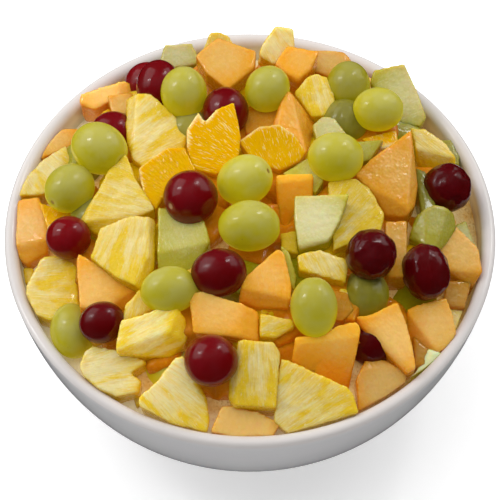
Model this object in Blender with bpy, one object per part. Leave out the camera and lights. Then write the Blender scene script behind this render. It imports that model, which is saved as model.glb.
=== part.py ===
"""A fruit salad heaped in its white glazed serving bowl.

The origin is on the table under the middle of the bowl, +Z is up and -Y is the side that faces the diner.
Two solids: the bowl, turned in one piece, and the heap of fruit, one solid out to its uneven outline.
Lengths are in millimetres up to metres(), which is where they become Blender's.
"""

import math

import bmesh
import bpy
from mathutils import Matrix, Vector
from mathutils.geometry import interpolate_bezier

# Bowl
RIM_RADIUS = 110
BOWL_HEIGHT = 88
FOOT_RADIUS = 50
FOOT_HEIGHT = 4
FOOT_WIDTH = 5
RECESS_DEPTH = 2
WALL = 4.5
LIP_RISE = 2
BELLY_REACH = 34  # how far the wall runs outwards before it turns up
WALL_REACH = 51  # how far below the lip the wall stays nearly upright
WALL_LEAN = math.radians(6)
BOWL_STEPS = 48
WALL_STEPS = 8
LIP_STEPS = 4

# Heap
GAP = 0.3
HEAP_EDGE = -6  # the heap's surface at the wall, from the rim
HEAP_RISE = 30  # the middle of the heap above its edge
HEAP_RADIUS = 103
CORE_DEPTH = 9  # the core's surface below the heap's
CORE_STEPS = 4
CORE_SIDES = 36
CHUNK_TAPER = 0.92
GRAPE_SIDES = 10
GRAPE_RINGS = 7

# Cut fruit, from the back left to the front right. Each row: the fruit, how far the middle of its upper
# face is above the heap's surface, that face's rise to the right and to the back in degrees, the depth of
# the chunk and the corners of its upper face in plan.
PINEAPPLE, CANTALOUPE, HONEYDEW, ORANGE = "pineapple", "cantaloupe", "honeydew", "orange"
CHUNKS = (
    (HONEYDEW, 7, 0, 20, 20, (-40, 82), (-42, 86), (-40, 93), (-27, 94), (-24, 88), (-25, 84)),
    (CANTALOUPE, 5, 0, 18, 18, (-79, 67), (-59, 74), (-53, 73), (-53, 68), (-72, 60), (-79, 63)),
    (CANTALOUPE, 2, 0, 10, 20, (-66, 62), (-54, 64), (-53, 52), (-63, 52)),
    (CANTALOUPE, 1, 0, 6, 16, (-97, 38), (-93, 47), (-87, 54), (-78, 54), (-82, 45), (-92, 40)),
    (PINEAPPLE, 3, 4, 0, 18, (-105, 14), (-101, 25), (-95, 33), (-84, 41), (-81, 31), (-90, 19),
     (-93, 14)),
    (CANTALOUPE, 3, 12, 4, 22, (-105, -6), (-105, 12), (-95, 13), (-90, 0), (-89, -17), (-98, -22),
     (-103, -18)),
    (ORANGE, -2, 0, 10, 14, (-94, 6), (-76, 0), (-78, -10), (-90, -6)),
    (PINEAPPLE, 3, -8, 8, 24, (-56, 51), (-49, 55), (-45, 55), (-41, 52), (-28, 38), (-29, 29),
     (-47, 17), (-52, 21), (-55, 29), (-56, 40)),
    (ORANGE, 6, 0, 28, 16, (-28, 31), (-23, 38), (-20, 34), (-15, 39), (-7, 42), (-5, 33), (-4, 28),
     (-5, 20), (-15, 13), (-25, 15), (-28, 24)),
    (ORANGE, 2, -6, 6, 18, (-49, 13), (-43, 19), (-37, 24), (-29, 25), (-24, 14), (-36, 3), (-41, -7),
     (-47, 2)),
    (PINEAPPLE, 3, 8, 6, 22, (-55, 21), (-50, 8), (-41, -8), (-50, -11), (-66, -19), (-75, -12),
     (-68, 2), (-62, 15)),
    (PINEAPPLE, 4, 6, 8, 24, (-65, -17), (-52, -12), (-46, -14), (-45, -37), (-48, -48), (-57, -41),
     (-69, -31)),
    (PINEAPPLE, 15, 0, 30, 14, (-22, 84), (-19, 91), (-15, 92), (-10, 90), (-6, 84)),
    (CANTALOUPE, 11, 0, 3, 24, (-25, 74), (-15, 85), (3, 77), (2, 68), (-10, 56), (-20, 65)),
    (PINEAPPLE, 15, -15, 45, 14, (4, 78), (5, 81), (9, 86), (12, 89), (20, 89), (21, 82), (11, 76)),
    (CANTALOUPE, 10, 0, 4, 22, (11, 72), (17, 82), (26, 80), (32, 79), (28, 69), (22, 62), (19, 64)),
    (CANTALOUPE, 8, -4, 6, 20, (26, 87), (36, 88), (44, 87), (49, 80), (37, 73), (29, 76)),
    (PINEAPPLE, 3, -6, 14, 22, (27, 63), (30, 67), (35, 66), (38, 60), (39, 53), (39, 47), (28, 46),
     (21, 55)),
    (CANTALOUPE, 3, -14, 10, 22, (9, 35), (12, 45), (17, 54), (28, 42), (28, 31), (24, 22), (13, 33)),
    (CANTALOUPE, -3, 0, 0, 20, (-3, 48), (12, 52), (14, 36), (-2, 36)),
    (HONEYDEW, 1, 0, 8, 20, (28, 39), (33, 43), (38, 42), (45, 32), (30, 29)),
    (ORANGE, 4, 4, 16, 16, (-5, 27), (4, 33), (13, 34), (20, 29), (25, 21), (22, 17), (13, 13), (2, 17)),
    (HONEYDEW, 10, 0, 24, 16, (55, 68), (57, 73), (71, 76), (77, 64), (81, 53), (78, 49), (69, 50)),
    (CANTALOUPE, 5, -10, 8, 24, (72, 34), (73, 23), (74, 7), (72, -3), (68, -10), (59, -9), (53, 2),
     (46, 9), (53, 17)),
    (PINEAPPLE, 4, -8, 10, 16, (73, 44), (80, 44), (89, 38), (93, 32), (93, 28), (81, 24), (75, 27)),
    (HONEYDEW, 2, 0, 8, 16, (86, 48), (93, 48), (97, 40), (96, 34), (90, 36)),
    (ORANGE, -1, 0, 6, 14, (50, 36), (66, 40), (67, 32), (56, 30)),
    (HONEYDEW, 0, 0, 8, 18, (43, 31), (60, 32), (54, 22), (48, 20)),
    (HONEYDEW, 0, -10, 0, 18, (74, 22), (79, 20), (83, -2), (76, -3)),
    (HONEYDEW, 4, -8, 10, 22, (73, -6), (76, -3), (82, 0), (90, -3), (91, -10), (85, -18), (81, -23),
     (70, -19)),
    (HONEYDEW, 1, -20, 0, 18, (91, -2), (97, 2), (102, -16), (93, -16)),
    (CANTALOUPE, 4, -12, 10, 20, (83, -17), (86, -13), (94, -9), (101, -15), (102, -25), (97, -31),
     (88, -30)),
    (CANTALOUPE, 0, -10, 10, 18, (86, -30), (98, -28), (94, -42), (84, -42)),
    (PINEAPPLE, 2, -6, 6, 24, (34, 6), (47, 8), (53, 3), (59, -9), (57, -17), (36, -28), (35, -14)),
    (HONEYDEW, 6, 4, 14, 22, (19, -5), (43, -5), (40, -17), (37, -23), (34, -27), (21, -30), (19, -16)),
    (CANTALOUPE, 2, 0, 12, 24, (11, 8), (28, 9), (28, -1), (20, -22), (13, -17)),
    (HONEYDEW, 0, 0, 8, 18, (14, 12), (26, 20), (31, 10), (26, 4)),
    (PINEAPPLE, 0, 0, 10, 16, (13, -20), (20, -18), (21, -29), (14, -28)),
    (CANTALOUPE, 1, -6, 8, 24, (59, -12), (69, -10), (68, -37), (59, -38)),
    (PINEAPPLE, 2, -8, 12, 20, (20, -32), (30, -29), (43, -33), (41, -43), (31, -41), (21, -39)),
    (CANTALOUPE, -2, 0, 10, 18, (34, -44), (42, -46), (46, -54), (40, -60), (34, -58)),
    (CANTALOUPE, 5, -4, 26, 24, (19, -69), (31, -68), (37, -64), (45, -62), (47, -65), (42, -82),
     (17, -76)),
    (CANTALOUPE, 4, -6, 24, 18, (45, -57), (51, -56), (63, -50), (67, -58), (69, -66), (71, -76),
     (67, -78), (49, -62)),
    (CANTALOUPE, 3, -16, 22, 22, (68, -49), (72, -47), (85, -42), (88, -48), (90, -56), (87, -62),
     (81, -65), (72, -62)),
    (PINEAPPLE, 0, -10, 10, 16, (86, -42), (94, -41), (91, -52), (88, -54)),
    (CANTALOUPE, 1, -10, 26, 20, (49, -70), (57, -71), (67, -76), (67, -79), (57, -86), (46, -92),
     (45, -80)),
    (PINEAPPLE, 3, -4, 36, 20, (13, -77), (17, -78), (32, -83), (41, -86), (44, -89), (46, -95),
     (27, -100), (16, -103), (10, -99), (11, -88)),
    (PINEAPPLE, 3, 0, 26, 22, (-5, -70), (10, -71), (13, -75), (9, -96), (-7, -95), (-9, -92), (-9, -86)),
    (CANTALOUPE, 1, 0, 34, 18, (-12, -93), (-7, -93), (4, -95), (13, -99), (10, -104), (-7, -104),
     (-17, -102)),
    (PINEAPPLE, 0, -8, 20, 18, (4, -58), (18, -60), (19, -63), (11, -68), (4, -68)),
    (CANTALOUPE, 4, 4, 24, 24, (-26, -51), (-18, -51), (-7, -55), (4, -58), (4, -68), (-24, -65)),
    (CANTALOUPE, 4, -8, 18, 22, (12, -31), (15, -33), (18, -47), (17, -53), (4, -54), (-5, -51),
     (-3, -45)),
    (HONEYDEW, 0, -8, 18, 18, (13, -27), (17, -30), (20, -40), (19, -46), (16, -43)),
    (HONEYDEW, 2, 4, 8, 24, (-40, -8), (-21, -10), (-17, -25), (-24, -38), (-40, -36)),
    (CANTALOUPE, 3, -6, 16, 22, (-74, -28), (-48, -44), (-57, -52), (-67, -52), (-73, -52), (-75, -31)),
    (PINEAPPLE, 3, 12, 10, 20, (-92, -22), (-86, -21), (-76, -25), (-74, -47), (-87, -48), (-92, -45),
     (-98, -38), (-100, -33), (-96, -26)),
    (PINEAPPLE, -2, 10, 0, 14, (-103, -18), (-96, -18), (-97, -27), (-101, -26)),
    (PINEAPPLE, -1, 0, 16, 18, (-54, -57), (-54, -52), (-46, -50), (-43, -55)),
    (PINEAPPLE, 5, 4, 24, 20, (-55, -61), (-45, -59), (-36, -56), (-31, -56), (-26, -59), (-25, -65),
     (-26, -70), (-45, -72), (-55, -70)),
    (PINEAPPLE, 4, 8, 22, 18, (-73, -74), (-71, -68), (-67, -66), (-55, -69), (-43, -74), (-44, -79),
     (-47, -86), (-57, -87), (-65, -83), (-71, -78)),
    (PINEAPPLE, 3, -2, 34, 20, (-32, -76), (-28, -75), (-22, -83), (-18, -90), (-17, -97),
     (-18, -102), (-33, -99), (-47, -93), (-47, -90), (-39, -84)),
)

# The back of the heap, behind the pieces that stand highest
CHUNKS += (
    (CANTALOUPE, 1, 0, -30, 20, (-22, 101), (-4, 103), (-4, 92), (-18, 90)),
    (PINEAPPLE, 0, 0, -30, 20, (-41, 95), (-26, 100), (-24, 90), (-36, 87)),
    (CANTALOUPE, -4, 8, -20, 18, (-62, 82), (-50, 90), (-44, 82), (-56, 75)),
    (HONEYDEW, 0, 0, -26, 18, (6, 102), (20, 101), (22, 90), (8, 90)),
    (PINEAPPLE, -1, -8, -24, 20, (26, 100), (42, 94), (40, 86), (25, 89)),
    (CANTALOUPE, 0, -10, -20, 20, (50, 89), (64, 80), (58, 70), (48, 78)),
    (PINEAPPLE, 1, -20, -20, 20, (70, 76), (82, 63), (76, 54), (64, 66)),
    (HONEYDEW, -3, 16, -8, 16, (-78, 68), (-66, 79), (-60, 72), (-72, 62)),
)

# Grapes. Each row: the kind, the plan position of the centre, its height above the heap's surface, the width,
# the length, the turn of the long axis from +X and its pitch, in degrees.
GREEN, RED = "green_grape", "red_grape"
GRAPES = (
    (RED, -50, 71, 4, 21, 22, 30, 10),
    (RED, -42, 65, 4, 20, 24, 80, 10),
    (GREEN, -30, 56, 5, 21, 24, 90, 30),
    (RED, -66, 37, 3, 21, 22, 20, 0),
    (GREEN, -67, 26, 6, 23, 27, -40, 10),
    (GREEN, -80, 8, 5, 21, 24, -120, -30),
    (RED, -79, -17, 4, 19, 20, 0, 0),
    (RED, -26, -5, 6, 24, 24, -130, -20),
    (GREEN, -2, 5, 5, 22, 26, 20, 0),
    (GREEN, 0, -19, 5, 22, 27, 0, 0),
    (RED, -11, 46, 1, 21, 23, 90, 10),
    (GREEN, 8, 57, 5, 20, 22, 60, 10),
    (GREEN, 45, 65, 5, 20, 22, 90, 10),
    (GREEN, 47, 44, -2, 20, 23, 90, 10),
    (GREEN, 58, 47, 8, 20, 23, 0, 0),
    (GREEN, 38, 17, 6, 22, 25, 0, 0),
    (RED, 88, 13, 4, 21, 21, 0, 0),
    (RED, 76, -35, 4, 21, 25, 100, 20),
    (RED, 52, -31, 5, 22, 22, -20, 0),
    (RED, -13, -42, 5, 21, 24, 10, 0),
    (GREEN, -34, -48, 3, 20, 25, 10, 0),
    (GREEN, -79, -57, 2, 20, 25, 100, 10),
    (RED, -63, -58, 4, 18, 20, 20, 0),
    (RED, -16, -79, 5, 22, 23, 0, 0),
    (GREEN, 27, -57, 5, 20, 26, 95, 30),
    (GREEN, 50, -46, -2, 20, 23, 90, 10),
    (RED, 51, -62, -9, 20, 22, 0, 0),
    (GREEN, -34, -71, -13, 20, 22, 0, 0),
    (GREEN, -29, 44, -5, 20, 22, 0, 0),
    (GREEN, -72, 0, -6, 20, 22, 0, 0),
)

COLOURS = {
    "glaze": (0.86, 0.84, 0.83, 1),
    "core": (0.45, 0.2, 0.03, 1),
    PINEAPPLE: (0.83, 0.66, 0.17, 1),
    CANTALOUPE: (0.82, 0.42, 0.09, 1),
    HONEYDEW: (0.56, 0.6, 0.2, 1),
    ORANGE: (0.86, 0.45, 0.02, 1),
    GREEN: (0.38, 0.4, 0.04, 1),
    RED: (0.16, 0.005, 0.012, 1),
}


def clear_scene():
    for old in list(bpy.data.objects):
        bpy.data.objects.remove(old)


def material(name):
    made = bpy.data.materials.new(name)
    made.use_nodes = True
    shader = made.node_tree.nodes["Principled BSDF"]
    shader.inputs["Base Color"].default_value = COLOURS[name]
    shader.inputs["Roughness"].default_value = 0.15 if name == "glaze" else 0.35
    shader.inputs["Metallic"].default_value = 0
    return made


def object_from(mesh_data, name, finish):
    """A new object in metres from a bmesh in millimetres, which it frees."""
    bmesh.ops.scale(mesh_data, verts=mesh_data.verts, vec=(0.001, 0.001, 0.001))
    mesh = bpy.data.meshes.new(name)
    mesh_data.to_mesh(mesh)
    mesh_data.free()
    mesh.materials.append(finish)
    made = bpy.data.objects.new(name, mesh)
    bpy.context.scene.collection.objects.link(made)
    return made


def turned(profile, steps):
    """The solid turned from a profile of (radius, height) that starts and ends on the axis."""
    solid = bmesh.new()
    points = [solid.verts.new((radius, 0, height)) for radius, height in profile]
    edges = [solid.edges.new(pair) for pair in zip(points, points[1:])]
    bmesh.ops.spin(
        solid, geom=points + edges, cent=(0, 0, 0), axis=(0, 0, 1), angle=math.tau, steps=steps,
        use_merge=True
    )
    bmesh.ops.remove_doubles(solid, verts=solid.verts, dist=0.001)
    bmesh.ops.recalc_face_normals(solid, faces=solid.faces)
    return solid


def outer_wall():
    """The outside of the bowl from its foot to its lip, as (radius, height)."""
    lip = Vector((RIM_RADIUS, BOWL_HEIGHT - LIP_RISE))
    lean = Vector((math.sin(WALL_LEAN), math.cos(WALL_LEAN)))
    foot = Vector((FOOT_RADIUS, FOOT_HEIGHT))
    return interpolate_bezier(foot, foot + Vector((BELLY_REACH, 0)), lip - lean * WALL_REACH, lip, WALL_STEPS)


def inner_wall(gap=0.0):
    """The inside of the bowl from its floor to its lip, as far inside the outer wall as the wall is thick."""
    outer = outer_wall()
    last = len(outer) - 1
    inner = []
    for i, point in enumerate(outer):
        along = outer[min(i + 1, last)] - outer[max(i - 1, 0)]
        inner.append(point + Vector((-along.y, along.x)).normalized() * (WALL + gap))
    inner[0].x = FOOT_RADIUS
    return inner


def lip():
    """The rounded lip, from the outer wall over its crest towards the inner wall."""
    middle = RIM_RADIUS - WALL / 2
    angles = [math.pi * i / LIP_STEPS for i in range(1, LIP_STEPS)]
    level = BOWL_HEIGHT - LIP_RISE
    return [(middle + WALL / 2 * math.cos(a), level + LIP_RISE * math.sin(a)) for a in angles]


def make_bowl():
    foot_inside = FOOT_RADIUS - FOOT_WIDTH
    foot = [(0, RECESS_DEPTH), (foot_inside - RECESS_DEPTH, RECESS_DEPTH), (foot_inside, 0), (FOOT_RADIUS, 0)]
    inside = [tuple(point) for point in reversed(inner_wall())]
    floor = [(0, inside[-1][1])]
    profile = foot + [tuple(point) for point in outer_wall()] + lip() + inside + floor
    bowl = object_from(turned(profile, BOWL_STEPS), "bowl", material("glaze"))
    bowl.data.shade_smooth()
    bowl.data.set_sharp_from_angle(angle=math.radians(50))
    return bowl


def heap_height(x, y):
    """The heap's even surface, before the fruit stands out of it."""
    return BOWL_HEIGHT + HEAP_EDGE + HEAP_RISE * (1 - (math.hypot(x, y) / HEAP_RADIUS) ** 4)


def room_at(height):
    """How far from the axis the fruit reaches at a height without touching the bowl."""
    wall = inner_wall(2 * GAP)
    for low, high in zip(wall, wall[1:]):
        if height < high.y:
            share = max(0, (height - low.y) / (high.y - low.y))
            return low.x + share * (high.x - low.x)
    return wall[-1].x


def kept_inside(solid):
    """Presses whatever would run into the bowl back to its wall."""
    floor = inner_wall(GAP)[0].y
    for vert in solid.verts:
        vert.co.z = max(vert.co.z, floor)
        reach = math.hypot(vert.co.x, vert.co.y)
        room = room_at(vert.co.z)
        if reach > room:
            vert.co.x *= room / reach
            vert.co.y *= room / reach
    return solid


def core():
    """What the fruit lies on, down to the bowl's floor."""
    wall = inner_wall(GAP)
    edge = heap_height(wall[-1].x, 0) - CORE_DEPTH
    side = [tuple(point) for point in wall if point.y < edge]
    top = []
    for i in range(CORE_STEPS + 1):
        radius = (room_at(edge) + GAP / 2) * (1 - i / CORE_STEPS)
        top.append((radius, heap_height(radius, 0) - CORE_DEPTH))
    return turned([(0, side[0][1])] + side + top, CORE_SIDES)


def chunk(lift, rise_right, rise_back, depth, corners):
    """A chunk with a flat upper face and a slightly smaller face below it."""
    middle = sum((Vector(corner) for corner in corners), Vector((0, 0))) / len(corners)
    slope = Vector((math.tan(math.radians(rise_right)), math.tan(math.radians(rise_back))))
    level = heap_height(*middle) + lift
    solid = bmesh.new()
    rim = [solid.verts.new((*corner, level + slope.dot(Vector(corner) - middle))) for corner in corners]
    face = solid.faces.new(rim)
    sides = bmesh.ops.extrude_face_region(solid, geom=[face])["geom"]
    below = [item for item in sides if isinstance(item, bmesh.types.BMVert)]
    centre = Matrix.Translation((-middle.x, -middle.y, -level))
    bmesh.ops.scale(solid, verts=below, vec=(CHUNK_TAPER,) * 3, space=centre)
    down = Vector((slope.x, slope.y, -1)).normalized() * depth
    bmesh.ops.translate(solid, verts=below, vec=down)
    bmesh.ops.recalc_face_normals(solid, faces=solid.faces)
    return kept_inside(solid)


def grape(x, y, lift, width, length, turn, pitch):
    """An egg-shaped grape, its poles on its long axis."""
    turn, pitch = math.radians(turn), math.radians(pitch)
    axis = Vector((math.cos(turn) * math.cos(pitch), math.sin(turn) * math.cos(pitch), math.sin(pitch)))
    stand = axis.to_track_quat("Z", "Y").to_matrix().to_4x4()
    place = Matrix.Translation((x, y, heap_height(x, y) + lift)) @ stand
    size = Matrix.Diagonal((width / 2, width / 2, length / 2, 1))
    solid = bmesh.new()
    bmesh.ops.create_uvsphere(
        solid, u_segments=GRAPE_SIDES, v_segments=GRAPE_RINGS, radius=1, matrix=place @ size
    )
    return kept_inside(solid)


def join(base, piece):
    """Makes a piece one with the base, and removes the piece."""
    union = base.modifiers.new("join", "BOOLEAN")
    union.operation = "UNION"
    union.solver = "EXACT"
    union.material_mode = "TRANSFER"
    union.object = piece
    graph = bpy.context.evaluated_depsgraph_get()
    joined = bpy.data.meshes.new_from_object(base.evaluated_get(graph))
    base.modifiers.remove(union)
    base.data = joined
    bpy.data.objects.remove(piece)


def shell_of(seed):
    """The faces that hang together with one face."""
    found, waiting = {seed}, [seed]
    while waiting:
        for edge in waiting.pop().edges:
            for face in edge.link_faces:
                if face not in found:
                    found.add(face)
                    waiting.append(face)
    return found


def keep_outer_shell(mesh):
    """Deletes the walls of pockets that are shut in among the fruit."""
    solid = bmesh.new()
    solid.from_mesh(mesh)
    left = set(solid.faces)
    shells = []
    while left:
        shell = shell_of(next(iter(left)))
        shells.append(shell)
        left -= shell
    shells.sort(key=len)
    for shell in shells[:-1]:
        bmesh.ops.delete(solid, geom=list(shell), context="FACES")
    solid.to_mesh(mesh)
    solid.free()


def make_heap():
    kinds = ("core", PINEAPPLE, CANTALOUPE, HONEYDEW, ORANGE, GREEN, RED)
    finishes = {name: material(name) for name in kinds}
    heap = object_from(core(), "fruit_heap", finishes["core"])
    for kind, lift, rise_right, rise_back, depth, *corners in CHUNKS:
        join(heap, object_from(chunk(lift, rise_right, rise_back, depth, corners), kind, finishes[kind]))
    for kind, *place in GRAPES:
        join(heap, object_from(grape(*place), kind, finishes[kind]))
    keep_outer_shell(heap.data)
    return heap


def main():
    clear_scene()
    make_bowl()
    make_heap()


main()
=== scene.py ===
"""The looks of a fruit salad heaped in its white glazed serving bowl.

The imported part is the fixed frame: its bowl gives the rim's height and width, and every piece is placed
from them. The bowl is turned again, smooth, in its own shape. The one solid that stands for the heap is
replaced by the fruit itself: cut melon, pineapple and orange, whole grapes, a lower layer of chunks and the
core that they lie on. Shapes are in millimetres until place() turns them into pieces in metres.
"""

import math
import random

import bmesh
import bpy
from mathutils import Matrix, Vector, noise
from mathutils.bvhtree import BVHTree
from mathutils.geometry import interpolate_bezier, intersect_point_line


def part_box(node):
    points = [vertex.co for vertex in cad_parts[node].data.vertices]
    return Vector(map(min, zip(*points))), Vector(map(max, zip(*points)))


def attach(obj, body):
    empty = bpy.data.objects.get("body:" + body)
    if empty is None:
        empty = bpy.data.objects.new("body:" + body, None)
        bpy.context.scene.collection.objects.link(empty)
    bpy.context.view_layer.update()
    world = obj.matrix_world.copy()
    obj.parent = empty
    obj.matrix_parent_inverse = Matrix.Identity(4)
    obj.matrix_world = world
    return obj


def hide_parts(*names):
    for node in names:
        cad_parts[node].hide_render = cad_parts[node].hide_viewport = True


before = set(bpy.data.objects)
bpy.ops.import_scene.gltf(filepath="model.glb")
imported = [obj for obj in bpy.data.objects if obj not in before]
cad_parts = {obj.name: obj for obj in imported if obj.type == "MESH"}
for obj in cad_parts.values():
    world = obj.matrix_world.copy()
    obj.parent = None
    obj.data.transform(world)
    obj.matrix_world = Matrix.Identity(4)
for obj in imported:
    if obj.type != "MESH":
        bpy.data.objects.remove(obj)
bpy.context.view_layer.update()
bowl_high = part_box("bowl")[1]

# Bowl, as it was turned
RIM_RADIUS = 1000 * bowl_high.x
BOWL_HEIGHT = 1000 * bowl_high.z
FOOT_RADIUS = 50
FOOT_HEIGHT = 4
FOOT_WIDTH = 5
FOOT_EASE = 0.6
RECESS_DEPTH = 2
WALL = 4.5
LIP_RISE = 2
LIP_SLOPE = 3.8  # from the crest of the lip inwards
LIP_DROP = 4
LIP_SWELL_DEPTH = 26  # the wall thins to its even thickness this far below the lip
BELLY_REACH = 34  # how far the wall runs out before it turns up
WALL_REACH = 51  # how far below the lip the wall stays nearly upright
WALL_LEAN = math.radians(6)
BOWL_STEPS = 160
WALL_STEPS = 36
LIP_STEPS = 16

# Heap
GAP = 0.3
HEAP_EDGE = -6  # the heap's surface at the wall, from the rim
HEAP_RISE = 30  # the middle of the heap above its edge
HEAP_RADIUS = 103
CORE_DEPTH = 14  # the core's surface below the heap's
CORE_RISE = 8  # how much less that is at the wall
CORE_SIDES = 110
CORE_RINGS = 26
CORE_LUMPS = (2.4, 0.8)  # the height of its large and small lumps

# Cut fruit and grapes
PINEAPPLE, CANTALOUPE, HONEYDEW, ORANGE = "pineapple", "cantaloupe", "honeydew", "orange"
GREEN, RED = "green_grape", "red_grape"
CHUNK_TAPER = 0.92
CHUNK_BEVEL = 0.4
CHUNK_SMOOTHING = 0.15
UPRIGHT = 1.5  # how much the sides of a tilted chunk keep to the vertical
FACE_SIZE = {PINEAPPLE: 0.95, CANTALOUPE: 1, HONEYDEW: 0.9, ORANGE: 0.7}  # each fruit's even face size
FAN = {PINEAPPLE: 70, ORANGE: 45}  # how far from the chunk's middle the fibres meet
PAINTED_PALE_MIDDLE = {CANTALOUPE: 0.9, HONEYDEW: 0.6, PINEAPPLE: 0.35, ORANGE: 0.1}  # how much paler a cut's middle is than its edges: painted light and shade as well as the flesh's own colour
PAINTED_SHADE_FROM = 0.86  # the cosine, off the upper face, from which a side is painted deeper, as shade
PAINTED_SHADE_GAIN = 2.2
PAINTED_SHADE_DEPTH = 14  # so far below the heap's surface, all is painted as deep as a side, as shade
MEMBRANE = 2.4  # along an orange piece's rind side
MEMBRANE_PALENESS = 1.1
GRAPE_DETAIL = 5
DIMPLE = 0.7
DIMPLE_WIDTH = 0.16  # in radians, at the stalk
TIP_WIDTH = 0.08
WRINKLED_TONE = 0.52  # grapes below this tone, painted darker as shade, are also wrinkled
WRINKLING = 0.05

# The layer of chunks below those that show
LOWER_RINGS = 5
LOWER_PITCH = 20
LOWER_COUNT = 0.98  # chunks on a ring, for each pitch of its length
LOWER_SIZE = (10.5, 14)
LOWER_DEPTHS = (16, 20)
LOWER_DEPTH = 5  # their upper faces below the heap's surface
LOWER_FACE_SIZE = 2.1
LOWER_TONE = 0.9
LOWER_PALENESS = 0.2
# painted shade: how far all of a lower chunk's colour goes towards the deep colour
LOWER_PAINTED_SHADE = 0.75
LOWER_SMOOTHING = 0.5
TUCK = 2  # where they would stand out through an upper chunk, they are pressed this far below it
TUCK_REACH = 12
SEED = 7

# Cut fruit, each kind from the back left to the front right, then its small bits and the back of the heap.
# Each row: how bright the chunk is, which is its own tone and, for chunks in the shade, painted shade, how
# pale, and the turn of its grain from +X, then as in the part: the height of its upper face above the heap's
# surface, that face's rise to the right and to the back in degrees, the chunk's depth and the corners of its
# upper face.
# Five numbers together are a further cut: the two ends of its ridge, and how many degrees the face beyond it
# drops, on the right on the way from the first end.
CHUNKS = {}
CHUNKS[PINEAPPLE] = (
    (0.8, 0.65, -50, 3, 4, 0, 18, (-105, 14), (-101, 25), (-95, 33), (-84, 41), (-81, 31), (-90, 19),
     (-93, 14)),
    (0.9, 0.55, 45, 3, -8, 8, 24, (-56, 54), (-49, 55), (-45, 55), (-41, 52), (-28, 39), (-29, 29), (-47, 17),
     (-52, 21), (-55, 31), (-56, 42), (-51, 52, -52, 20, 45), (-28, 36, -40, 51, 45)),
    (0.85, 0.35, 160, 3, 8, 6, 22, (-55, 21), (-50, 8), (-41, -8), (-50, -11), (-67, -16), (-76, -10),
     (-68, 2), (-62, 15), (-71, -11, -42, -9, 45), (-67, 7, -71, -7, 40)),
    (0.9, 0.4, -105, 4, 6, 8, 24, (-65, -17), (-52, -12), (-41, -13), (-41, -35), (-47, -46), (-57, -41),
     (-69, -31), (-44, -31, -44, -15, 50), (-50, -46, -44, -31, 50)),
    (0.8, 0.25, 90, 15, 0, 30, 14, (-22, 84), (-19, 91), (-15, 92), (-10, 90), (-6, 84)),
    (1.1, 1, -60, 15, -15, 45, 14, (4, 78), (5, 81), (9, 86), (12, 89), (20, 89), (21, 82), (11, 76)),
    (0.9, 0.5, -75, 3, -6, 14, 22, (25, 64), (30, 67), (35, 66), (38, 60), (39, 53), (39, 47), (28, 46),
     (20, 57)),
    (0.85, 0.45, -35, 5, -8, 10, 16, (73, 44), (80, 44), (89, 38), (93, 32), (94, 29), (83, 27), (76, 29),
     (74, 34, 93, 31, 50)),
    (0.75, 0.2, 50, 2, -6, 6, 24, (34, 7), (47, 8), (53, 3), (59, -9), (57, -17), (36, -28), (35, -14),
     (41, 6, 35, -10, 20)),
    (0.75, -0.5, 0, 0, 0, 10, 16, (13, -20), (20, -18), (21, -29), (14, -28)),
    (0.85, 0.5, -60, 2, -8, 12, 20, (20, -32), (30, -29), (43, -33), (41, -43), (31, -41), (21, -39)),
    (0.95, 0.65, -45, 0, -10, 10, 16, (86, -42), (94, -41), (91, -52), (88, -54)),
    (1, 0.5, 45, 3, -4, 36, 20, (13, -77), (17, -78), (32, -83), (41, -86), (44, -89), (46, -95), (27, -100),
     (16, -103), (10, -99), (11, -88)),
    (0.9, 0.45, -90, 3, 0, 26, 22, (-5, -70), (10, -71), (13, -75), (11, -96), (-7, -95), (-9, -92),
     (-9, -86), (-3, -71, -6, -94, 40)),
    (0.9, 0.2, 20, 0, -8, 20, 18, (4, -58), (18, -60), (19, -63), (11, -68), (4, -68)),
    (0.95, 0.45, 0, 3, 6, 14, 20, (-92, -22), (-86, -21), (-76, -25), (-74, -47), (-87, -50), (-93, -47),
     (-98, -38), (-98, -34), (-94, -26)),
    (0.75, -0.3, 0, -2, 10, 0, 14, (-103, -18), (-96, -18), (-97, -27), (-101, -26)),
    (0.9, 0.15, 75, 1, 0, 16, 18, (-55, -60), (-53, -51), (-47, -45), (-41, -54)),
    (1.15, 0.55, 30, 5, 4, 24, 20, (-55, -61), (-45, -59), (-36, -56), (-31, -56), (-27, -60), (-26, -66),
     (-28, -70), (-34, -74), (-45, -74), (-57, -73), (-57, -73, -33, -66, 42), (-34, -68, -30, -55, 40)),
    (1, 0.8, 10, 4, 8, 22, 18, (-73, -74), (-71, -68), (-67, -66), (-55, -69), (-43, -74), (-51, -78),
     (-46, -81), (-47, -86), (-57, -87), (-65, -83), (-71, -78), (-49, -86, -46, -75, 45)),
    (1.1, 0.7, -45, 3, -2, 34, 20, (-32, -76), (-28, -75), (-22, -83), (-18, -90), (-17, -97), (-18, -102),
     (-33, -99), (-47, -93), (-47, -90), (-39, -84), (-19, -93, -26, -81, 40)),
    (1, 0.7, -25, -3, 0, 10, 6, (38, -43), (41, -43), (46, -47), (46, -49), (41, -48), (38, -46)),
    (1.2, 1.2, 60, -12, 0, 20, 6, (-16, -85), (-13, -85), (-14, -89), (-16, -89)),
    (0.8, 0.2, 0, -5, 0, 20, 8, (-51, -82), (-46, -84), (-48, -89)),
    (1, 0.35, 14, 0, 0, -30, 20, (-41, 95), (-26, 100), (-24, 90), (-36, 87)),
    (1, 0.35, -145, -1, -8, -24, 20, (26, 100), (42, 94), (40, 86), (25, 89)),
    (1, 0, 30, 1, -20, -20, 20, (70, 76), (82, 63), (76, 54), (64, 66)),
)
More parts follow.
